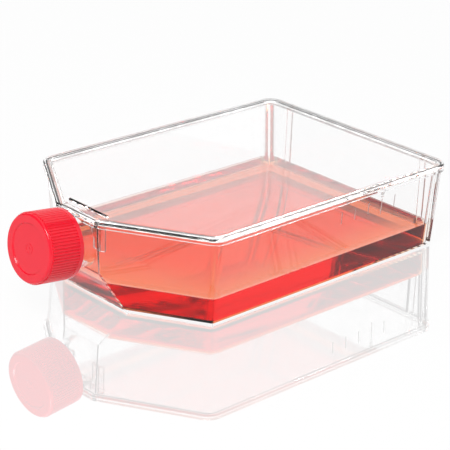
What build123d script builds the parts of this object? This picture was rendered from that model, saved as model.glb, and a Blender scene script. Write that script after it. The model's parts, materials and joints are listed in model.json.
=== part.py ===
from build123d import *
from math import asin, cos, pi, radians, sin, tan
import os

# Cell culture flask, lying on its growth face with the neck towards -X.
# The origin is under the middle of the whole flask, on the plane that it stands on. Sizes in mm.

# ---------------------------------------------------------------- driving dimensions
body_length = 181.7          # neck end of the rim to the far end of the rim
body_width = 124.0           # across the rim
body_height = 44.5           # foot to the top of the stacking lip
shoulder_length = 29.3       # how far back from the neck end each shoulder starts
neck_end_width = 26.8        # rim width left between the two shoulders

wall = 1.3                   # moulded wall of the tray
wall_draft = 4.0             # degrees, so the walls lean in towards the growth face
rim_overhang = 2.0           # the rim stands this far proud of the wall below it
far_draft = 0.4              # degrees: the far wall is nearly upright
far_overhang = 3.65          # the rim stands further proud of the far wall, for the fins
rim_corner_radius = 8.0      # far corners and shoulder corners of the rim
neck_corner_radius = 2.2     # the two corners of the rim beside the neck
outer_corner_radius = 1.2    # upright corners of the tray, outside
cavity_corner_radius = 6.5   # upright corners of the tray, inside
smallest_radius = 0.5        # a moulded corner is never sharper than this

floor_thickness = 1.4        # growth face
foot_height = 1.5            # foot ring that holds the growth face off the bench
foot_width = 1.6
ramp_run = 11.4              # neck end of the rim back to the foot of the pipetting ramp
ramp_gap = 0.5               # below the neck, where the ramp meets the neck end wall

tray_flange = 1.2            # flange around the mouth of the tray
weld_gap = 0.4               # groove left each side of the weld bead
cover_flange = 1.9           # flange of the cover, above the weld
bead_inset = 1.2             # rim edge to the weld bead
bead_width = 0.8
panel_recess = 1.2           # the cover's panel lies this far below the stacking lip
panel_thickness = 1.3
pan_wall = 0.7               # upright wall between the lip and the panel
pan_clearance = 0.3          # cover inside the tray's mouth
lip_edge_radius = 0.8        # both edges of the stacking lip

stop_thickness = 1.6         # pair of stacking stops on the cover, near the neck
stop_corner_radius = 0.75
stop_height = 1.1
stop_top_radius = 0.7
stop_setback = 8.1           # neck end of the rim to the near face of the stops
stop_ends = ((-12.0, 1.9), (2.8, 15.0))   # from y to y, for each stop
tab_thickness = 1.2          # locating tabs under the cover, in the corners beside the neck
tab_leg = 3.8
tab_depth = 12.3             # below the tray's flange
tab_clearance = 0.3

fin_width = 2.3              # two fins on the far wall, which the flask stands on upright
fin_spacing = 91.8           # between the middles of the fins
fin_root = 0.6               # how deep a fin is moulded into the wall
fin_rise = 3.0               # the fins stop above the bench, clear of the lip of a flask below
fin_edge_radius = 0.4

neck_tilt = 7.0              # degrees above the bench
neck_gap = 0.3               # from the neck up to the weld, at the end wall
neck_radius = 11.9
neck_wall = 1.4
neck_length = 25.9           # end wall to the sealing lip, along the axis
neck_lip_chamfer = 0.4
neck_overlap = 2.4           # how far the neck's tube is sunk into the end wall

liner_thickness = 1.0
liner_clearance = 0.3        # around the liner, inside the cap
thread_room = 1.7            # between the neck and the inside of the cap, for the threads
cap_wall = 2.5               # inside of the cap to the crests of its ribs
cap_length = 18.1
cap_top = 1.6                # end of the cap, over the liner
cap_edge_radius = 1.1
rib_count = 72
rib_depth = 0.4
groove_share = 0.62          # how much of a rib's pitch its groove takes, at the surface
groove_floor_share = 0.2     # and at the groove's floor
cap_collar = 2.0             # plain band at the open end
cap_land = 1.5               # plain band at the closed end
dish_margin = 4.5            # flat ring round the shallow dish in the end face
dish_depth = 0.5
dish_slope = 40.0            # degrees, of the dish's wall off the cap's axis
gate_ring_radius = 2.3       # moulding gate: a faint ring with a pip in the middle
gate_ring_width = 0.35
gate_pip_radius = 0.6
gate_height = 0.15

medium_level = 12.4          # surface of the medium above the bench
medium_clearance = 0.1       # between the medium and the walls

# ---------------------------------------------------------------- derived sizes
lean = tan(radians(wall_draft))
far_lean = tan(radians(far_draft))
far_setback = far_overhang - rim_overhang
flange_z = body_height - cover_flange - weld_gap - tray_flange    # under the rim
tray_top = flange_z + tray_flange
floor_z = foot_height + floor_thickness                           # growth face
panel_z = body_height - panel_recess                              # top of the panel
pan_inset = rim_overhang + wall + pan_clearance
lip_width = pan_inset + pan_wall                                  # flat top of the lip
neck_bore_radius = neck_radius - neck_wall
neck_height = tray_top - neck_gap - neck_radius                   # axis, at the end wall
ramp_height = neck_height - neck_radius - ramp_gap                # ramp, at the end wall
cap_bore_radius = neck_radius + thread_room
cap_radius = cap_bore_radius + cap_wall
dish_radius = cap_radius - dish_margin


def wall_inset(z):
    """How far the outside of the wall stands inside the rim's edge, at height z."""
    return rim_overhang + (flange_z - z) * lean


# The neck's axis leaves the end wall at neck_root, and the cap's front edge is the lowest x of all.
cap_front = neck_length + liner_thickness + cap_top
rib_floor = cap_radius - rib_depth
tilt_sin = sin(radians(neck_tilt))
tilt_cos = cos(radians(neck_tilt))
edge_ring = rib_floor - cap_edge_radius
cap_reach = (cap_front - cap_edge_radius) * tilt_cos + edge_ring * tilt_sin + cap_edge_radius
overall_length = body_length + cap_reach - wall_inset(neck_height)
far_x = overall_length / 2
end_x = far_x - body_length
neck_root = Vector(end_x + wall_inset(neck_height), 0, neck_height)
neck_plane = Plane(origin=neck_root, x_dir=(0, 1, 0), z_dir=(-tilt_cos, 0, tilt_sin))

# The ramp's outer plane: up from its foot line to where it meets the neck end wall.
ramp_foot = Vector(end_x + ramp_run, 0, 0)
ramp_rise = Vector(end_x + wall_inset(ramp_height), 0, ramp_height) - ramp_foot
ramp_plane = Plane(origin=ramp_foot, x_dir=(0, 1, 0), z_dir=(ramp_rise.Z, 0, -ramp_rise.X))


def rim_outline(inset, far_move=0):
    """Draw the rim's six-sided outline, its far side moved in by far_move and then all by inset."""
    half = body_width / 2
    half_end = neck_end_width / 2
    shoulder_x = end_x + shoulder_length
    side_x = far_x - far_move
    Polygon(
        (end_x, -half_end), (shoulder_x, -half), (side_x, -half),
        (side_x, half), (shoulder_x, half), (end_x, half_end),
        align=None,
    )
    if inset > 0:
        offset(amount=-inset, kind=Kind.INTERSECTION, mode=Mode.REPLACE)


def round_outline(sketch, inset, wide_radius):
    """Round the outline's corners: two tight ones beside the neck and four wide ones."""
    corners = sketch.vertices().sort_by(Axis.X)
    fillet(corners[:2], max(neck_corner_radius - inset, smallest_radius))
    corners = sketch.vertices().filter_by_position(Axis.X, end_x + shoulder_length / 2, far_x + 1)
    fillet(corners, wide_radius)


def draw_rim(sketch, inset):
    """Draw the rounded outline of the rim, moved in by inset."""
    rim_outline(inset)
    round_outline(sketch, inset, max(rim_corner_radius - inset, smallest_radius))


def slanted_edges(form):
    """The six upright corner edges of a tray form, from the neck end to the far end."""
    return form.edges().filter_by(lambda edge: abs(edge.tangent_at(0.5).Z) > 0.5).sort_by(Axis.X)


def tray_form(gap, low_z, high_z, corner_radius):
    """The drafted form of the tray, moved in by gap all round and cut by the ramp."""
    with BuildPart() as form:
        with BuildSketch(Plane.XY.offset(low_z)):
            rim_outline(rim_overhang + gap, far_setback)
        extrude(amount=high_z - low_z)
        far_wall = form.faces().sort_by(Axis.X)[-1:]
        draft(far_wall, Plane.XY.offset(flange_z), -far_draft)
        leaning_walls = form.faces().filter_by(Axis.Z, reverse=True).sort_by(Axis.X)[:-1]
        draft(leaning_walls, Plane.XY.offset(flange_z), -wall_draft)
        fillet(slanted_edges(form)[2:], corner_radius)
        fillet(slanted_edges(form)[:2], smallest_radius)
        split(bisect_by=ramp_plane.offset(gap), keep=Keep.TOP)
    return form.part


# ---------------------------------------------------------------- flask body: tray, ramp and neck
tray_outside = tray_form(0, 0, flange_z, outer_corner_radius)
tray_cavity = tray_form(wall, floor_z, tray_top, cavity_corner_radius)
foot_recess = tray_form(foot_width, 0, foot_height, smallest_radius)

# fins on the far wall, flush with the rim, so that the flask can stand on its end
fin_depth = far_overhang + fin_root
with BuildPart() as fins:
    with BuildSketch(Plane.XY.offset(fin_rise)):
        fin_x = far_x - fin_depth / 2
        with Locations((fin_x, -fin_spacing / 2), (fin_x, fin_spacing / 2)):
            Rectangle(fin_depth, fin_width)
    extrude(amount=flange_z - fin_rise)
    fillet(fins.edges().filter_by(Axis.Z), fin_edge_radius)

with BuildPart() as flask_body:
    add(tray_outside)
    # flange that the cover is welded to
    with BuildSketch(Plane.XY.offset(flange_z)) as flange_sketch:
        draw_rim(flange_sketch, 0)
    extrude(amount=tray_flange)
    add(fins.part)
    # neck, added solid so that the cavity trims its inner end
    with BuildSketch(neck_plane.offset(-neck_overlap)):
        Circle(neck_radius)
    extrude(amount=neck_overlap + neck_length)
    add(tray_cavity, mode=Mode.SUBTRACT)
    add(foot_recess, mode=Mode.SUBTRACT)
    # bore, from inside the leaning end wall out through the sealing lip
    bore_start = neck_bore_radius * tan(radians(neck_tilt + wall_draft)) + neck_overlap
    with BuildSketch(neck_plane.offset(-bore_start)):
        Circle(neck_bore_radius)
    extrude(amount=bore_start + neck_length, mode=Mode.SUBTRACT)
    lip_edges = flask_body.edges().filter_by(GeomType.CIRCLE).sort_by(Axis.X)[:2]
    chamfer(lip_edges, neck_lip_chamfer)
flask_body.part.label = "flask_body"

# ---------------------------------------------------------------- cover: a shallow pan welded on
# stacking stops: a flask on top is held here by the foot of its ramp
stop_x = end_x + stop_setback + stop_thickness / 2
with BuildPart() as stops:
    for low_y, high_y in stop_ends:
        with BuildSketch(Plane.XY.offset(panel_z)):
            with Locations((stop_x, (low_y + high_y) / 2)):
                RectangleRounded(stop_thickness, high_y - low_y, stop_corner_radius)
        extrude(amount=stop_height)
    stop_tops = stops.faces().filter_by(Axis.Z).sort_by(Axis.Z)[-2:]
    fillet(stop_tops.edges(), stop_top_radius)

with BuildPart() as top_plate:
    with BuildSketch(Plane.XY.offset(tray_top + weld_gap)) as cover_sketch:
        draw_rim(cover_sketch, 0)
    extrude(amount=cover_flange)
    with BuildSketch(Plane.XY.offset(panel_z - panel_thickness)) as pan_sketch:
        rim_outline(pan_inset, far_setback)
        round_outline(pan_sketch, pan_inset, cavity_corner_radius - pan_clearance)
    extrude(amount=panel_thickness)
    with BuildSketch(Plane.XY.offset(panel_z)) as recess_sketch:
        draw_rim(recess_sketch, lip_width)
    extrude(amount=panel_recess, mode=Mode.SUBTRACT)
    fillet(top_plate.faces().sort_by(Axis.Z)[-1].edges(), lip_edge_radius)
    # weld bead, down to the tray's flange
    with BuildSketch(Plane.XY.offset(tray_top)) as bead_sketch:
        draw_rim(bead_sketch, bead_inset)
        with BuildSketch(mode=Mode.SUBTRACT) as bead_hole:
            draw_rim(bead_hole, bead_inset + bead_width)
    extrude(amount=weld_gap)
    add(stops.part)
    # locating tabs, which guide the cover into the corners beside the neck
    tab_z = flange_z - tab_depth
    tab_inset = wall_inset(tab_z) + wall + tab_clearance
    shoulder_rise = (body_width - neck_end_width) / 2
    shoulder_angle = asin(shoulder_length / Vector(shoulder_length, shoulder_rise).length)
    tab_corner_x = end_x + tab_inset
    tab_corner_y = neck_end_width / 2 - tab_inset * tan((pi / 2 - shoulder_angle) / 2)
    with BuildSketch(Plane.XY.offset(tab_z)):
        rim_outline(tab_inset)
        with BuildSketch(mode=Mode.SUBTRACT):
            rim_outline(tab_inset + tab_thickness)
        with BuildSketch(mode=Mode.INTERSECT):
            with Locations((tab_corner_x, -tab_corner_y), (tab_corner_x, tab_corner_y)):
                Circle(tab_leg)
    extrude(amount=panel_z - panel_thickness - tab_z)
top_plate.part.label = "top_plate"

# ---------------------------------------------------------------- medium
with BuildPart() as culture_medium:
    medium_corner = cavity_corner_radius - medium_clearance
    add(tray_form(wall + medium_clearance, floor_z, medium_level, medium_corner))
culture_medium.part.label = "culture_medium"

# ---------------------------------------------------------------- cap liner
with BuildPart() as cap_liner:
    with BuildSketch(neck_plane.offset(neck_length)):
        Circle(cap_bore_radius - liner_clearance)
    extrude(amount=liner_thickness)
cap_liner.part.label = "cap_liner"

# ---------------------------------------------------------------- screw cap
cap_rear = cap_front - cap_length
rib_pitch = 2 * pi * cap_radius / rib_count
groove_half = rib_pitch * groove_share / 2
groove_floor_half = rib_pitch * groove_floor_share / 2
groove_outer_half = 2 * groove_half - groove_floor_half
with BuildPart() as screw_cap:
    # plain core, rounded at the closed end
    with BuildSketch(neck_plane.offset(cap_rear)):
        Circle(rib_floor)
    extrude(amount=cap_length)
    along_neck = Axis((0, 0, 0), neck_plane.z_dir)
    fillet(screw_cap.faces().sort_by(along_neck)[-1].edges(), cap_edge_radius)
    # ribbed grip between the two plain bands
    with BuildSketch(neck_plane.offset(cap_rear + cap_collar)):
        Circle(cap_radius)
        with PolarLocations(0, rib_count):
            Polygon(
                (rib_floor, -groove_floor_half), (cap_radius + rib_depth, -groove_outer_half),
                (cap_radius + rib_depth, groove_outer_half), (rib_floor, groove_floor_half),
                align=None, mode=Mode.SUBTRACT,
            )
    extrude(amount=cap_length - cap_collar - cap_land)
    # collar at the open end
    with BuildSketch(neck_plane.offset(cap_rear)):
        Circle(cap_radius)
    extrude(amount=cap_collar)
    # inside
    with BuildSketch(neck_plane.offset(cap_rear)):
        Circle(cap_bore_radius)
    extrude(amount=cap_length - cap_top, mode=Mode.SUBTRACT)
    # dished end face with its gate mark
    with BuildSketch(neck_plane.offset(cap_front)):
        Circle(dish_radius)
    extrude(amount=-dish_depth, taper=dish_slope, mode=Mode.SUBTRACT)
    with BuildSketch(neck_plane.offset(cap_front - dish_depth)):
        Circle(gate_ring_radius)
        Circle(gate_ring_radius - gate_ring_width, mode=Mode.SUBTRACT)
        Circle(gate_pip_radius)
    extrude(amount=gate_height)
screw_cap.part.label = "screw_cap"

# ---------------------------------------------------------------- write one STEP for each piece
os.makedirs("parts", exist_ok=True)
for piece in (flask_body, top_plate, culture_medium, cap_liner, screw_cap):
    export_step(piece.part, f"parts/{piece.part.label}.step")
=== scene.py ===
# %% [markdown]
# # A cell culture flask
#
# A growing flask for cells, lying on its growth face with some red medium inside. Its four moulded
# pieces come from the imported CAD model, which already has their real sizes, so this lesson keeps
# them and gives them their finish. It then models what is left: the medium with its curved edge,
# the screw threads, and the raised volume marks.

# %% Load the frame
import json
import math

import bpy
from mathutils import Matrix, Vector


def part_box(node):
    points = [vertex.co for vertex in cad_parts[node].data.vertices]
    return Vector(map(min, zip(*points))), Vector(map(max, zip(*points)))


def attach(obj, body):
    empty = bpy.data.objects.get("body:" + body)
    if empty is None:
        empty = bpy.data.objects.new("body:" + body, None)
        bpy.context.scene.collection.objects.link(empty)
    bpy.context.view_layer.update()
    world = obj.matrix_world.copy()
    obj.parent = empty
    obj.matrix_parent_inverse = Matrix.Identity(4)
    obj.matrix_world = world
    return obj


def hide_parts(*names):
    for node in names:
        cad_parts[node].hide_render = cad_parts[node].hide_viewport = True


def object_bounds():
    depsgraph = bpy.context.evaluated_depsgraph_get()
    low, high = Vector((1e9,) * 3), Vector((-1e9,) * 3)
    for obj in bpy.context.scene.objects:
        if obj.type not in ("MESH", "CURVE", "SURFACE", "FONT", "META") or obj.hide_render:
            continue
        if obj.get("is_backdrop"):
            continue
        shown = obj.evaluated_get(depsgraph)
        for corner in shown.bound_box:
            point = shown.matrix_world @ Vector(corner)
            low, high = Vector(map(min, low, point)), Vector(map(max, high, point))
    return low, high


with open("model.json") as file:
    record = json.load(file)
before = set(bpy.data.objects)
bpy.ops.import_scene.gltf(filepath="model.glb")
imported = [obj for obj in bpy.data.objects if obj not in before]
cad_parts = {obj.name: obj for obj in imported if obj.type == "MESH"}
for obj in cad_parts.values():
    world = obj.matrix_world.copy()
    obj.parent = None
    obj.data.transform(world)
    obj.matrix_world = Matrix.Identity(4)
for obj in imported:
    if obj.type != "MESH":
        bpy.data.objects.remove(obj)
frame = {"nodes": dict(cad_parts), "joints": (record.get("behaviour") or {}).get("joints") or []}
cad_low, cad_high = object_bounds()
mm = 0.001
print("flask box, mm:", [round(size / mm, 1) for size in cad_high - cad_low])

# %% [markdown]
# ## Camera
#
# The flask is seen from the neck's side and from above, with a long lens, so that its edges stay
# nearly parallel. A camera could be aimed with a Track To constraint, but this one also leans a
# little to one side, so its three axes are worked out and put into its matrix.


# %% Directions
def direction_at(azimuth, elevation):
    """The direction this far round from the -Y side, and this far above the bench."""
    return Vector((
        math.sin(azimuth) * math.cos(elevation),
        -math.cos(azimuth) * math.cos(elevation),
        math.sin(elevation),
    ))


# %% Camera
camera_azimuth = math.radians(-43.785)
camera_elevation = math.radians(22.864)
camera_roll = math.radians(2.398)
camera_distance = 0.8309
camera_lens = 138.4
aim_from_middle = Vector((14.6, 0.0, -10.3)) * mm
aim = (cad_low + cad_high) / 2 + aim_from_middle

back = direction_at(camera_azimuth, camera_elevation)
level_right = Vector((0, 0, 1)).cross(back).normalized()
level_up = back.cross(level_right)
right = level_right * math.cos(camera_roll) + level_up * math.sin(camera_roll)
up = back.cross(right)

camera_data = bpy.data.cameras.new("camera")
camera_data.lens = camera_lens
camera_data.clip_start = 0.01
camera_data.clip_end = 50
camera = bpy.data.objects.new("camera", camera_data)
bpy.context.scene.collection.objects.link(camera)
camera_axes = Matrix((right, up, back)).transposed()
camera.matrix_world = Matrix.Translation(aim + back * camera_distance) @ camera_axes.to_4x4()
bpy.context.scene.camera = camera
print("camera stands", round(camera_distance, 3), "m from", [round(c, 4) for c in aim])

# %% [markdown]
# ## Material helpers
#
# Every finish here is a node tree. It could be wired by hand in the shader editor, but these helpers
# add a node, set its sockets by name, and join two sockets, so that each finish reads as a short
# list. The first ones are the plainest, and the others put them together.


# %% Material helpers
def new_material(name):
    """An empty node material with its output node."""
    material = bpy.data.materials.new(name)
    material.use_nodes = True
    material.node_tree.nodes.clear()
    output = material.node_tree.nodes.new("ShaderNodeOutputMaterial")
    return material, output


def add_node(tree, kind, **sockets):
    """A node of this kind, with the input sockets named in sockets set to their values."""
    node = tree.nodes.new("ShaderNode" + kind)
    for name, value in sockets.items():
        node.inputs[name.replace("_", " ")].default_value = value
    return node


def join(tree, source, target):
    """Link an output socket to an input socket."""
    tree.links.new(source, target)


# %% Arithmetic in a material
def math_node(tree, operation, first, second=None):
    """A Math node, whose inputs are either numbers or output sockets."""
    node = tree.nodes.new("ShaderNodeMath")
    node.operation = operation
    for socket, value in zip(node.inputs, (first, second)):
        if isinstance(value, (int, float)):
            socket.default_value = value
        elif value is not None:
            join(tree, value, socket)
    return node.outputs["Value"]


def map_range(tree, source, from_low, from_high, low=0.0, high=1.0, smooth=False):
    """Map a value from one range to another, and hold it at both ends."""
    node = add_node(
        tree, "MapRange", From_Min=from_low, From_Max=from_high, To_Min=low, To_Max=high,
    )
    if smooth:
        node.interpolation_type = "SMOOTHSTEP"
    join(tree, source, node.inputs["Value"])
    return node.outputs["Result"]


def vector_math_node(tree, operation, first, second):
    """A Vector Math node, whose second input is either a triple of numbers or an output socket."""
    node = tree.nodes.new("ShaderNodeVectorMath")
    node.operation = operation
    join(tree, first, node.inputs[0])
    if isinstance(second, tuple):
        node.inputs[1].default_value = second
    else:
        join(tree, second, node.inputs[1])
    return node.outputs["Value"] if operation == "DOT_PRODUCT" else node.outputs["Vector"]


# %% Places, directions and noise
def place_on_object(tree):
    """Where a point is in Object coordinates, which are the scene's own."""
    return add_node(tree, "TexCoord").outputs["Object"]


def parts_of(tree, vector):
    """The X, Y and Z parts of a vector, as sockets."""
    node = add_node(tree, "SeparateXYZ")
    join(tree, vector, node.inputs["Vector"])
    return node.outputs


def outward_normal(tree):
    """The surface's own outward direction, whichever side a ray meets it from."""
    geometry = add_node(tree, "NewGeometry")
    turned = math_node(tree, "MULTIPLY", geometry.outputs["Backfacing"], 2.0)
    side = math_node(tree, "SUBTRACT", 1.0, turned)
    return vector_math_node(tree, "MULTIPLY", geometry.outputs["Normal"], side)


def noise_on_object(tree, per_metre, detail=3.0):
    """Noise in Object coordinates, from 0 to 1, with this many features to the metre."""
    noise = add_node(tree, "TexNoise", Scale=per_metre, Detail=detail)
    join(tree, place_on_object(tree), noise.inputs["Vector"])
    return noise.outputs["Fac"]


def bump_from(tree, height, depth):
    """A bump whose full height is this deep."""
    bump = add_node(tree, "Bump", Strength=1.0, Distance=depth)
    join(tree, height, bump.inputs["Height"])
    return bump.outputs["Normal"]


# %% Blends
pure_white = (1, 1, 1, 1)


def mix_colours(tree, share, first, second):
    """Blend from the first colour, a socket, to the second, a plain colour."""
    node = add_node(tree, "MixRGB", Color2=second)
    join(tree, share, node.inputs["Fac"])
    join(tree, first, node.inputs["Color1"])
    return node.outputs["Color"]


def mix_shaders(tree, share, first, second):
    """Blend from the first shader to the second."""
    node = add_node(tree, "MixShader")
    join(tree, share, node.inputs["Fac"])
    join(tree, first, node.inputs[1])
    join(tree, second, node.inputs[2])
    return node.outputs["Shader"]


# %% [markdown]
# ## Where the medium wets the tray
#
# A wall between plastic and water mirrors ten times less than one between plastic and air. The
# renderer only knows the second kind, so wetted faces would show a false grey mirror image. The
# tray's and the medium's finishes take the shine off with Specular Tint on just those faces: it
# leaves total reflection alone, which is right. These are the heights that say which faces are wet.

# %% Wetted heights
medium_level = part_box("culture_medium")[1].z
growth_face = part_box("culture_medium")[0].z
meniscus_rise = 1.2 * mm
meniscus_reach = 2.0 * mm
contact_height = medium_level + meniscus_rise
print("medium from", round(growth_face / mm, 2), "to", round(contact_height / mm, 2), "mm at the walls")

# %% [markdown]
# ## Clear polystyrene
#
# The tray and its cover are moulded in clear polystyrene, a stiff plastic that bends light more
# than window glass does. It could be a Glass shader, but the Principled one with full transmission
# also takes a coat and a tint for its shine. A slow bump, two hundredths of a millimetre deep,
# gives the faint waves of a moulded wall, and roughness stays near zero.

# %% Clear polystyrene
polystyrene_ior = 1.59
wave_depth = 0.02 * mm
most_roughness = 0.012


def clear_polystyrene(name, **sockets):
    """Clear plastic with its faint waves: the material, its node tree and its shader."""
    material, output = new_material(name)
    tree = material.node_tree
    shader = add_node(
        tree, "BsdfPrincipled", Base_Color=(0.998, 0.999, 1.0, 1), IOR=polystyrene_ior,
        Transmission_Weight=1.0, **sockets,
    )
    waves = noise_on_object(tree, per_metre=45, detail=2.0)
    join(tree, bump_from(tree, waves, wave_depth), shader.inputs["Normal"])
    dulling = noise_on_object(tree, per_metre=30)
    join(tree, map_range(tree, dulling, 0, 1, 0, most_roughness), shader.inputs["Roughness"])
    join(tree, shader.outputs["BSDF"], output.inputs["Surface"])
    print("made", name)
    return material, tree, shader


# %% [markdown]
# ## The tray's shine
#
# The tray has three kinds of face: outer ones, dry inner ones and wetted inner ones. Which way a
# face looks is told by its normal: an inner face looks back at the middle of the cavity. Each kind
# has its own Specular Tint. The neck's thread is part of the same moulding and gets the same finish.

# %% Tray finish
tray_finish, tree, shader = clear_polystyrene("clear_polystyrene_tray")
outer_shine = 0.6
dry_inner_shine = 0.15
cavity_middle = (0.0, 0.0, 8 * mm)
place = place_on_object(tree)
from_middle = vector_math_node(tree, "SUBTRACT", place, cavity_middle)
outwardness = vector_math_node(tree, "DOT_PRODUCT", from_middle, outward_normal(tree))
faces_inwards = math_node(tree, "LESS_THAN", outwardness, 0.0)

wet_from = growth_face - 0.7 * mm
height = parts_of(tree, place)["Z"]
above_foot = math_node(tree, "GREATER_THAN", height, wet_from)
below_contact = math_node(tree, "LESS_THAN", height, contact_height)
in_medium = math_node(tree, "MULTIPLY", above_foot, below_contact)
dry = math_node(tree, "SUBTRACT", 1.0, in_medium)
inner_shine = math_node(tree, "MULTIPLY", dry, dry_inner_shine)
step = math_node(tree, "MULTIPLY", faces_inwards, math_node(tree, "SUBTRACT", inner_shine, outer_shine))
join(tree, math_node(tree, "ADD", step, outer_shine), shader.inputs["Specular Tint"])
print("tray shine, outer and dry inner:", outer_shine, dry_inner_shine)

# %% [markdown]
# ## The cover's shine
#
# The cover's recessed panel comes from a polished mould face, so it shines more than the tray. A
# clear coat on its flat faces gives that. The lip round it stays above the panel, uncoated.

# %% Cover finish
cover_finish, tree, shader = clear_polystyrene(
    "clear_polystyrene_cover", Coat_IOR=polystyrene_ior, Coat_Roughness=0.0,
)
panel_recess = 1.2 * mm
panel_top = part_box("top_plate")[1].z - panel_recess
just_above_panel = panel_top + 0.2 * mm
nearly_level = 0.98
levelness = math_node(tree, "ABSOLUTE", parts_of(tree, outward_normal(tree))["Z"])
flat = math_node(tree, "GREATER_THAN", levelness, nearly_level)
below_lip = math_node(tree, "LESS_THAN", parts_of(tree, place_on_object(tree))["Z"], just_above_panel)
join(tree, math_node(tree, "MULTIPLY", flat, below_lip), shader.inputs["Coat Weight"])
print("the cover's panel is at", round(panel_top / mm, 2), "mm")

# %% [markdown]
# ## Red medium
#
# The medium is water with a red indicator dye. Its colour comes from its depth: a thin layer is
# coral, a long look through it is deep red. A red surface would be the same red everywhere, so the
# surface is colourless here, and a Volume Absorption shader takes out green and blue for each
# millimetre that light travels. Only the open surface shines, and only a little.

# %% Red medium
medium_finish, output = new_material("red_medium_liquid")
tree = medium_finish.node_tree
water_ior = 1.34
shader = add_node(
    tree, "BsdfPrincipled", Base_Color=pure_white, IOR=water_ior, Transmission_Weight=1.0, Roughness=0.0,
)
surface_shine = 0.1
faces_up = 0.3
upwardness = parts_of(tree, outward_normal(tree))["Z"]
open_surface = math_node(tree, "GREATER_THAN", upwardness, faces_up)
join(tree, math_node(tree, "MULTIPLY", open_surface, surface_shine), shader.inputs["Specular Tint"])
join(tree, shader.outputs["BSDF"], output.inputs["Surface"])
dye_density = 225.0
dye_colour = (1.0, 0.46, 0.0, 1)
absorb = add_node(tree, "VolumeAbsorption", Color=dye_colour, Density=dye_density)
join(tree, absorb.outputs["Volume"], output.inputs["Volume"])
print("blue falls to a tenth in", round(math.log(10) / dye_density / mm, 1), "mm of medium")

# %% [markdown]
# ## Red cap plastic
#
# The cap is moulded in red polyethylene, a waxy plastic with a soft shine. Plain red with a gloss
# would look like paint. Some light goes in and comes out again nearby, which a little subsurface
# scattering gives, and fine noise in the roughness and the bump gives the skin of a moulding.

# %% Red cap plastic
cap_plastic, output = new_material("red_polyethylene_moulded")
tree = cap_plastic.node_tree
cap_red = (0.93, 0.012, 0.035, 1)
cap_grain_depth = 0.01 * mm
shader = add_node(
    tree, "BsdfPrincipled", Base_Color=cap_red, IOR=1.5, Specular_IOR_Level=0.4,
    Subsurface_Weight=0.15, Subsurface_Scale=2 * mm,
)
sheen = map_range(tree, noise_on_object(tree, per_metre=900), 0, 1, 0.1, 0.18)
join(tree, sheen, shader.inputs["Roughness"])
grain = noise_on_object(tree, per_metre=2500)
join(tree, bump_from(tree, grain, cap_grain_depth), shader.inputs["Normal"])
join(tree, shader.outputs["BSDF"], output.inputs["Surface"])
print("made", cap_plastic.name)

# %% [markdown]
# ## Liner
#
# The sealing disc inside the cap is soft white foam. It hardly shines, so it is plain and rough,
# with a fine bump for the foam's cells.

# %% Liner
liner_foam, output = new_material("white_foam_liner")
tree = liner_foam.node_tree
foam_white = (0.86, 0.86, 0.83, 1)
foam_cell_depth = 0.03 * mm
shader = add_node(tree, "BsdfPrincipled", Base_Color=foam_white, Roughness=0.75)
foam_cells = noise_on_object(tree, per_metre=1800)
join(tree, bump_from(tree, foam_cells, foam_cell_depth), shader.inputs["Normal"])
join(tree, shader.outputs["BSDF"], output.inputs["Surface"])
print("made", liner_foam.name)

# %% [markdown]
# ## The moulded pieces get their finish
#
# The CAD pieces already have their shapes, so they only need a material each. It goes into the slots
# that they came with, and their meshes are left alone.

# %% Finish for each moulded piece
piece_finishes = {
    "flask_body": tray_finish, "top_plate": cover_finish,
    "cap_liner": liner_foam, "screw_cap": cap_plastic,
}
for node, finish in piece_finishes.items():
    for material_slot in frame["nodes"][node].material_slots:
        material_slot.material = finish
    print(node, "is made of", finish.name)

# %% [markdown]
# ## Modelling helpers
#
# An operator works on what is selected, so each piece starts by being the only one selected. Faces
# and points are then picked by where they are or which way they face.


# %% Modelling helpers
def select_only(piece):
    """Make this the only selected object, and the active one."""
    bpy.ops.object.select_all(action="DESELECT")
    piece.select_set(True)
    bpy.context.view_layer.objects.active = piece


def edit_faces(piece, wanted):
    """Go into edit mode with only the wanted faces selected."""
    bpy.ops.object.mode_set(mode="EDIT")
    bpy.ops.mesh.select_mode(type="FACE")
    bpy.ops.mesh.select_all(action="DESELECT")
    bpy.ops.object.mode_set(mode="OBJECT")
    for face in piece.data.polygons:
        face.select = wanted(face)
    bpy.ops.object.mode_set(mode="EDIT")


def edit_points(piece, wanted):
    """Go into edit mode with only the wanted points selected."""
    bpy.ops.object.mode_set(mode="EDIT")
    bpy.ops.mesh.select_mode(type="VERT")
    bpy.ops.mesh.select_all(action="DESELECT")
    bpy.ops.object.mode_set(mode="OBJECT")
    for point in piece.data.vertices:
        point.select = wanted(point.co)
    bpy.ops.object.mode_set(mode="EDIT")


def settle(piece, place):
    """Put the piece at its place and write that place into its mesh."""
    bpy.ops.object.mode_set(mode="OBJECT")
    piece.matrix_world = place
    select_only(piece)
    bpy.ops.object.transform_apply(location=True, rotation=True, scale=True)


# %% [markdown]
# ## Medium
#
# The CAD medium is a plain block that keeps clear of the walls. The real one wets them: it has no
# air gap, and its surface climbs a little where it meets the plastic. It could be modelled again
# from a cube, but a copy of the block already has the tray's outline, so the copy is grown a
# quarter of a millimetre into the walls, and its top is stepped up to the walls by insets.

# %% Medium grown to the walls
medium_mesh = frame["nodes"]["culture_medium"].data.copy()
medium = bpy.data.objects.new("medium_in_tray", medium_mesh)
bpy.context.scene.collection.objects.link(medium)
select_only(medium)
medium_mesh.materials.clear()
medium_mesh.materials.append(medium_finish)

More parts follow.
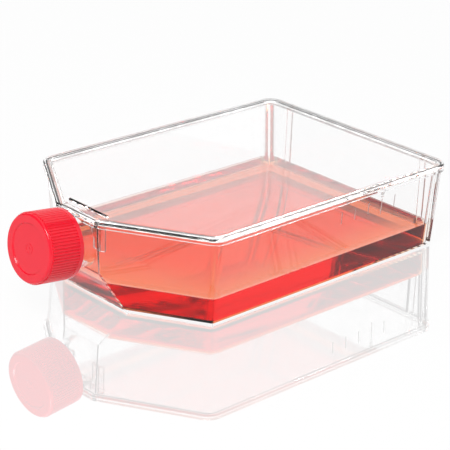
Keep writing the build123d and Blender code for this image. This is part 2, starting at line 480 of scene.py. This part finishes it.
wall_gap = 0.1 * mm
wetting = 0.25 * mm
merge_within = 0.001 * mm
bpy.ops.object.mode_set(mode="EDIT")
bpy.ops.mesh.select_all(action="SELECT")
bpy.ops.mesh.remove_doubles(threshold=merge_within)
bpy.ops.mesh.customdata_custom_splitnormals_clear()
bpy.ops.mesh.dissolve_limited(angle_limit=math.radians(0.5))
bpy.ops.transform.shrink_fatten(value=wall_gap + wetting, use_even_offset=True)
print("medium's sides moved out by", round((wall_gap + wetting) / mm, 2), "mm")

# %% [markdown]
# ## Meniscus
#
# The climb is steep at the wall and dies away within a few millimetres, which an exponential gives.
# It could be a bevel along the edge, but rings of faces, closer together at the wall, follow the
# curve better. Each inset of the top makes one ring and lets the rest down to the curve's height.


# %% Meniscus
def meniscus_height(distance):
    """How far the surface stands above the level, this far from the wall."""
    return meniscus_rise * math.exp(-max(distance, 0.0) / meniscus_reach)


ring_distances = [-0.25, 0.0, 0.3, 0.7, 1.2, 1.9, 2.8, 4.0, 5.6]
edit_faces(medium, lambda face: face.normal.z > 0.99)
lift = contact_height - max(point.co.z for point in medium_mesh.vertices)
bpy.ops.transform.translate(value=(0, 0, lift))
for near, far in zip(ring_distances, ring_distances[1:]):
    step_in = (far - near) * mm
    step_down = meniscus_height(near * mm) - meniscus_height(far * mm)
    if far == ring_distances[-1]:
        step_down = meniscus_height(near * mm)
    bpy.ops.mesh.inset(thickness=step_in, depth=-step_down)
bpy.ops.object.mode_set(mode="OBJECT")
bpy.ops.object.shade_smooth_by_angle(angle=math.radians(30))
highest = max(point.co.z for point in medium_mesh.vertices)
print("medium stands", round(highest / mm, 2), "mm up at the walls")
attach(medium, "flask")
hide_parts("culture_medium")

# %% [markdown]
# ## Screw threads
#
# The neck and the cap each carry a right-hand thread, two turns of a 5 mm pitch. It could be a row
# of extrusions, each turned and lifted a little, but the Screw modifier sweeps one small section
# along the helix in a single step. Both threads are swept alike round Z, and the cap's is then
# turned by half a turn, so that it lies midway between the neck's turns.

# %% Where the neck's axis runs
cap_turn = next(joint for joint in frame["joints"] if joint["name"] == "cap_turn")
cap_front = Vector(cap_turn["pos_m"])
neck_axis = Vector(cap_turn["axis"]).normalized()
neck_place = Matrix.Translation(cap_front) @ neck_axis.to_track_quat("Z", "Y").to_matrix().to_4x4()
neck_radius = 11.9 * mm
cap_bore_radius = 13.6 * mm
thread_start = -15.7 * mm
thread_pitch = 5.0 * mm
thread_turns = 2
root_width = 2.3 * mm
crest_share = 0.4
thread_rounding = 0.25 * mm
end_reach = 1.3 * mm
end_taper = (0.15, 1, 0.5)
steps_per_turn = 64
just_apart = 0.01 * mm
print("cap front at", [round(c / mm, 2) for c in cap_front], "mm")


# %% Thread section
def thread_section(name, root_radius, crest_radius):
    """The outline of one ridge, beside Z, with its blunt crest and its rounded corners."""
    bpy.ops.object.select_all(action="DESELECT")
    bpy.ops.mesh.primitive_plane_add(size=1)
    thread = bpy.context.object
    thread.name = name
    middle = (root_radius + crest_radius) / 2
    bpy.ops.object.mode_set(mode="EDIT")
    bpy.ops.mesh.select_all(action="SELECT")
    bpy.ops.transform.resize(value=(abs(crest_radius - root_radius), root_width, 1))
    bpy.ops.transform.rotate(value=math.radians(90), orient_axis="X", center_override=(0, 0, 0))
    bpy.ops.transform.translate(value=(middle, 0, thread_start))
    edit_points(thread, lambda co: abs(co.x - crest_radius) < just_apart)
    crest = (crest_radius, 0, thread_start)
    bpy.ops.transform.resize(value=(1, 1, crest_share), center_override=crest)
    bpy.ops.mesh.bevel(offset=thread_rounding, segments=3, affect="VERTICES")
    bpy.ops.mesh.select_all(action="SELECT")
    bpy.ops.mesh.delete(type="ONLY_FACE")
    bpy.ops.object.mode_set(mode="OBJECT")
    return thread


# %% Thread sweep
def sweep(thread):
    """Sweep the section up round Z with the Screw modifier."""
    screw = thread.modifiers.new("helix", "SCREW")
    screw.axis = "Z"
    screw.angle = 2 * math.pi
    screw.screw_offset = thread_pitch
    screw.iterations = thread_turns
    screw.steps = steps_per_turn
    screw.render_steps = steps_per_turn
    bpy.ops.object.modifier_apply(modifier="helix")


# %% One thread
def make_thread(name, root_radius, crest_radius, finish):
    """A ridge from its root in the wall to its crest, closed and drawn in at both ends."""
    thread = thread_section(name, root_radius, crest_radius)
    sweep(thread)
    for middle in (thread_start, thread_start + thread_turns * thread_pitch):
        edit_points(
            thread,
            lambda co: abs(co.y) < just_apart and co.x > 0 and abs(co.z - middle) < end_reach,
        )
        bpy.ops.transform.resize(value=end_taper, center_override=(root_radius, 0, middle))
    bpy.ops.mesh.select_all(action="SELECT")
    bpy.ops.mesh.fill_holes(sides=0)
    bpy.ops.mesh.select_all(action="SELECT")
    bpy.ops.mesh.normals_make_consistent(inside=False)
    bpy.ops.object.mode_set(mode="OBJECT")
    thread.data.materials.append(finish)
    bpy.ops.object.shade_smooth_by_angle(angle=math.radians(40))
    print(name, "has", len(thread.data.polygons), "faces")
    return thread


# %% Neck thread
root_in_wall = 0.15 * mm
neck_crest = neck_radius + 1.2 * mm
neck_thread = make_thread("neck_thread", neck_radius - root_in_wall, neck_crest, tray_finish)
settle(neck_thread, neck_place)
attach(neck_thread, "flask")
print("neck thread's crest is at radius", round(neck_crest / mm, 2), "mm")

# %% Cap thread
cap_crest = cap_bore_radius - 1.25 * mm
cap_thread = make_thread("cap_thread", cap_bore_radius + root_in_wall, cap_crest, cap_plastic)
settle(cap_thread, neck_place @ Matrix.Rotation(math.pi, 4, "Z"))
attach(cap_thread, "cap")
print("cap thread's crest is at radius", round(cap_crest / mm, 2), "mm")

# %% [markdown]
# ## Volume marks
#
# Raised marks on one long wall tell how full the flask is when it stands on its far end. They could
# be painted on with a texture, but real ones are moulded and catch the light. A cube stretched to
# a bar and beveled is one mark, and the others are copies. The wall leans, so a ray cast at the
# CAD wall finds the place and the lean of each mark. The number is plain digits.

# %% Find the marked wall
tray = frame["nodes"]["flask_body"]
clear_of_wall = 10 * mm


def meet_wall(x, z):
    """The point where a ray along Y meets the marked wall, and the way the wall faces there."""
    start = Vector((x, cad_low.y - clear_of_wall, z))
    return tray.ray_cast(start, Vector((0, 1, 0)))[1:3]


def place_on_wall(x, z):
    """A place on the marked wall: X along the wall, Y up it, Z out of it."""
    point, facing = meet_wall(x, z)
    along = Vector((1, 0, 0))
    axes = Matrix((along, facing.cross(along), facing)).transposed()
    return Matrix.Translation(point) @ axes.to_4x4()


marks_top = 36.3 * mm
wall_point, wall_facing = meet_wall(0.0, marks_top)
wall_lean = math.degrees(math.asin(-wall_facing.z))
print("marked wall at y", round(wall_point.y / mm, 2), "mm, leaning", round(wall_lean, 1), "degrees")

# %% Marked finish
mark_finish, output = new_material("clear_polystyrene_mark")
tree = mark_finish.node_tree
mark_grain_depth = 0.01 * mm
shader = add_node(
    tree, "BsdfPrincipled", Base_Color=pure_white, IOR=polystyrene_ior, Transmission_Weight=1.0,
)
frosting = map_range(tree, noise_on_object(tree, per_metre=4000), 0, 1, 0.2, 0.45)
join(tree, frosting, shader.inputs["Roughness"])
grain = noise_on_object(tree, per_metre=6000)
join(tree, bump_from(tree, grain, mark_grain_depth), shader.inputs["Normal"])
join(tree, shader.outputs["BSDF"], output.inputs["Surface"])
print("made", mark_finish.name)

# %% One mark
mark_length = 6.0 * mm
mark_width = 0.45 * mm
mark_depth = 0.3 * mm
bpy.ops.object.select_all(action="DESELECT")
bpy.ops.mesh.primitive_cube_add(size=1)
volume_marks = bpy.context.object
volume_marks.name = "volume_marks"
bpy.ops.object.mode_set(mode="EDIT")
bpy.ops.mesh.select_all(action="SELECT")
bpy.ops.transform.resize(value=(mark_width, mark_length, mark_depth))
bpy.ops.mesh.bevel(offset=0.1 * mm, segments=2, affect="EDGES")
bpy.ops.object.mode_set(mode="OBJECT")
volume_marks.data.materials.append(mark_finish)
print("one mark has", len(volume_marks.data.polygons), "faces")

# %% Row of marks
mark_spacing = 9.0 * mm
first_mark_x = 31.7 * mm
long_mark = 3
long_mark_extra = 2.0 * mm
marks = [volume_marks]
while len(marks) < 5:
    mark = volume_marks.copy()
    mark.data = volume_marks.data.copy()
    bpy.context.scene.collection.objects.link(mark)
    marks.append(mark)
select_only(marks[long_mark])
edit_points(marks[long_mark], lambda co: co.y < 0)
bpy.ops.transform.translate(value=(0, -long_mark_extra, 0))
for place_in_row, mark in enumerate(marks):
    settle(mark, place_on_wall(first_mark_x + place_in_row * mark_spacing, marks_top - mark_length / 2))
for mark in marks:
    mark.select_set(True)
bpy.context.view_layer.objects.active = volume_marks
bpy.ops.object.join()
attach(volume_marks, "flask")
print("marks:", len(marks), "every", round(mark_spacing / mm, 1), "mm")

# %% Number at the long mark
bpy.ops.object.select_all(action="DESELECT")
bpy.ops.object.text_add()
volume_number = bpy.context.object
volume_number.name = "volume_number"
volume_number.data.body = "180"
volume_number.data.size = 3.0 * mm
volume_number.data.extrude = 0.12 * mm
volume_number.data.align_x = "LEFT"
volume_number.data.align_y = "CENTER"
volume_number.data.materials.append(mark_finish)
bpy.ops.object.convert(target="MESH")
bpy.ops.object.mode_set(mode="EDIT")
bpy.ops.mesh.select_all(action="SELECT")
bpy.ops.mesh.remove_doubles(threshold=merge_within)
reads_upright = Matrix.Rotation(math.radians(90), 4, "Z")
number_foot = place_on_wall(first_mark_x + long_mark * mark_spacing, marks_top + 0.5 * mm)
settle(volume_number, number_foot @ reads_upright)
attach(volume_number, "flask")
print("number has", len(volume_number.data.polygons), "faces")

# %% [markdown]
# ## Studio: the floor
#
# Clear plastic shows only what is round it, so the studio matters as much as the finish. The floor
# is glossy white. For every ray that sees it, most of it glows at exactly white, so that it is as
# white as the backdrop, and the rest is a matt floor that takes the shadow. A mirror on top gives
# the reflection: faint straight from the camera, and strong for rays that have passed the clear
# walls. Along the foot's two near edges a band stays white, which lights the red liquid from below.
# It could be a strip of card, but a smooth ramp in the floor's own material blends it in.

# %% Floor plane
bpy.ops.object.select_all(action="DESELECT")
bpy.ops.mesh.primitive_plane_add(size=8.0, location=(0, 0, 0))
floor = bpy.context.object
floor.name = "studio_floor"
floor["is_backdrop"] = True
floor_finish, output = new_material("white_gloss_floor")
floor.data.materials.append(floor_finish)
print("floor is", round(floor.dimensions.x, 1), "m wide")

# %% [markdown]
# ### The white band
#
# It follows the foot's long side and the shoulder next to it, so it is measured from the medium's
# corner between the two. Inwards the mirror comes in slowly, and outwards it is back within a few
# millimetres.

# %% White band along the foot
tree = floor_finish.node_tree
floor_mirror_inside = 0.9
band_end = 3 * mm
full_mirror = 32 * mm
shoulder_angle = math.radians(31.1)
shoulder_rate = 0.6
outward_rate = -4.0
side_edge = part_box("culture_medium")[0].y + 3 * mm
side_points = [point.co for point in medium_mesh.vertices if point.co.y < side_edge]
corner = min(side_points, key=lambda point: point.x)
spot = parts_of(tree, place_on_object(tree))
from_side = math_node(tree, "SUBTRACT", spot["Y"], corner.y)
past_corner = math_node(tree, "SUBTRACT", spot["X"], corner.x)
along = math_node(tree, "MULTIPLY", past_corner, math.cos(shoulder_angle))
across = math_node(tree, "MULTIPLY", from_side, math.sin(shoulder_angle))
from_shoulder = math_node(tree, "MULTIPLY", math_node(tree, "ADD", along, across), shoulder_rate)
inwards = math_node(tree, "MINIMUM", from_side, from_shoulder)
from_band = math_node(tree, "MAXIMUM", inwards, math_node(tree, "MULTIPLY", inwards, outward_rate))
# Painted light: in the band the floor glows white in place of its mirror, and that glow lights the
# medium from below.
inner_mirror = map_range(tree, from_band, band_end, full_mirror, 0, floor_mirror_inside, smooth=True)
print("white band turns at, mm:", [round(value / mm, 1) for value in corner])

# %% [markdown]
# ### The floor's finish
#
# Light Path tells what kind of ray has come to the floor. A glossy or transmission ray that isn't a
# reflection has just passed the clear plastic. Glow, matt white and mirror are mixed by that.

# %% Floor finish
floor_matt_share = 0.08
floor_mirror_seen = 0.35
paths = add_node(tree, "LightPath").outputs
inner_ray = math_node(tree, "MAXIMUM", paths["Is Glossy Ray"], paths["Is Transmission Ray"])
seeing_ray = math_node(tree, "MAXIMUM", paths["Is Camera Ray"], inner_ray)
passed_ray = math_node(tree, "SUBTRACT", inner_ray, paths["Is Reflection Ray"])
passed_ray = math_node(tree, "MAXIMUM", passed_ray, 0.0)
matt = add_node(tree, "BsdfDiffuse", Color=(0.9, 0.9, 0.9, 1)).outputs["BSDF"]
glow = add_node(tree, "Emission", Color=pure_white, Strength=1.0).outputs["Emission"]
mirror = add_node(tree, "BsdfGlossy", Color=pure_white, Roughness=0.0).outputs["BSDF"]
glow_share = math_node(tree, "MULTIPLY", seeing_ray, 1 - floor_matt_share)
plain = mix_shaders(tree, glow_share, matt, glow)
inner_share = math_node(tree, "MULTIPLY", passed_ray, inner_mirror)
seen_share = math_node(tree, "MULTIPLY", paths["Is Camera Ray"], floor_mirror_seen)
mirror_share = math_node(tree, "ADD", inner_share, seen_share)
join(tree, mix_shaders(tree, mirror_share, plain, mirror), output.inputs["Surface"])
print("floor mirror, seen and inside:", floor_mirror_seen, floor_mirror_inside)

# %% [markdown]
# ## Studio: what stands round the flask
#
# Behind the flask is a white backdrop. Dark cards at both sides draw the dark edges and the dark end
# of the red liquid, as a photographer of glass sets them. The cards could be planes, but one world
# shader holds them all: a ramp round the horizon that starts behind the camera, passes its left
# side, the backdrop and its right side, and ends behind it again. Light that falls on matt surfaces
# is plain and even. Mirrored rays see the right side as white, so that the floor stays white when
# the flask is seen from behind its neck. Seen from its marked side, the floor mirrors the left card
# and turns grey, and so do the clear walls.

# %% Round the horizon
look = Vector((-back.x, -back.y, 0.0)).normalized()
beside = Vector((look.y, -look.x, 0.0))
horizon = [
    (-180, 0.5), (-150, 0.4), (-125, 0.04), (-36, 0.04), (-30, 1.0),
    (32, 1.0), (42, 0.07), (125, 0.07), (150, 0.4), (180, 0.5),
]
world = bpy.data.worlds.new("studio")
bpy.context.scene.world = world
world.use_nodes = True
tree = world.node_tree
tree.nodes.clear()
direction = add_node(tree, "TexCoord").outputs["Generated"]
ahead = vector_math_node(tree, "DOT_PRODUCT", direction, tuple(look))
sideways = vector_math_node(tree, "DOT_PRODUCT", direction, tuple(beside))
turn = math_node(tree, "ARCTAN2", sideways, ahead)
share_of_turn = math_node(tree, "ADD", math_node(tree, "DIVIDE", turn, 2 * math.pi), 0.5)
ramp = add_node(tree, "ValToRGB")
join(tree, share_of_turn, ramp.inputs["Fac"])
ramp.color_ramp.interpolation = "EASE"
while len(ramp.color_ramp.elements) < len(horizon):
    ramp.color_ramp.elements.new(0.5)
for element, (degrees, value) in zip(ramp.color_ramp.elements, horizon):
    element.position = (degrees + 180) / 360
    element.color = (value, value, value, 1)
print("round the horizon, degrees from the backdrop and brightness:", horizon)

# %% [markdown]
# ### Overhead, and each kind of ray
#
# Overhead hangs a white sheet, which the horizon's cards fade into. Then each kind of ray gets its
# share: mirrored ones the white right side, those that light matt surfaces an even grey, and the
# camera's own the white backdrop.

# %% Overhead and each kind of ray
sheet_from = math.sin(math.radians(55))
sheet_full = math.sin(math.radians(75))
overhead = map_range(tree, parts_of(tree, direction)["Z"], sheet_from, sheet_full, smooth=True)
colour = mix_colours(tree, overhead, ramp.outputs["Color"], pure_white)
paths = add_node(tree, "LightPath").outputs
right_side = map_range(tree, sideways, 0.55, 0.7)
mirrored = math_node(tree, "MULTIPLY", right_side, paths["Is Reflection Ray"])
colour = mix_colours(tree, mirrored, colour, pure_white)
light_level = 0.4
even_light = (light_level, light_level, light_level, 1)
colour = mix_colours(tree, paths["Is Diffuse Ray"], colour, even_light)
colour = mix_colours(tree, paths["Is Camera Ray"], colour, pure_white)
background = add_node(tree, "Background")
join(tree, colour, background.inputs["Color"])
world_output = add_node(tree, "OutputWorld")
join(tree, background.outputs["Background"], world_output.inputs["Surface"])
print("light on matt surfaces:", light_level)

# %% [markdown]
# ## Studio: the lamp
#
# One soft square lamp above the camera's left shoulder gives the cap its form. A small lamp would
# give a hard shadow, so it is nearly twice as long as the flask. Rays that have passed the clear
# plastic don't see it, or it would show as a bright square in the walls.

# %% Lamp
lamp_azimuth = camera_azimuth - math.radians(15)
lamp_elevation = math.radians(50)
lamp_distance = 0.9
away = direction_at(lamp_azimuth, lamp_elevation)
lamp_data = bpy.data.lights.new("soft_lamp", "AREA")
lamp_data.shape = "SQUARE"
lamp_data.size = 0.35
lamp_data.energy = 5.0
lamp = bpy.data.objects.new("soft_lamp", lamp_data)
bpy.context.scene.collection.objects.link(lamp)
lamp.visible_transmission = False
lamp_axes = away.to_track_quat("Z", "Y").to_matrix().to_4x4()
lamp.matrix_world = Matrix.Translation(aim + away * lamp_distance) @ lamp_axes
print("lamp stands at", [round(value, 2) for value in aim + away * lamp_distance], "m")

# %% [markdown]
# ## Colours and bounces
#
# The Standard view shows each colour as it is written. A look through the flask crosses many faces
# and turns back inside the walls, so a ray is allowed far more bounces than usual.

# %% Colours as written, and enough bounces for clear walls
scene = bpy.context.scene
scene.view_settings.view_transform = "Standard"
clear_bounces = 64
scene.cycles.max_bounces = clear_bounces
scene.cycles.transmission_bounces = clear_bounces
scene.cycles.glossy_bounces = clear_bounces
print("bounces:", clear_bounces)

# %% [markdown]
# ## Sizes
#
# How far the finished model reaches past the CAD model's box is worked out and printed. The
# finished model may not outgrow the CAD model.

# %% Sizes, then the end
seen_low, seen_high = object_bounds()
past_box = (*(cad_low - seen_low), *(seen_high - cad_high))
print("past the CAD box, mm:", [round(value / mm, 2) for value in past_box])
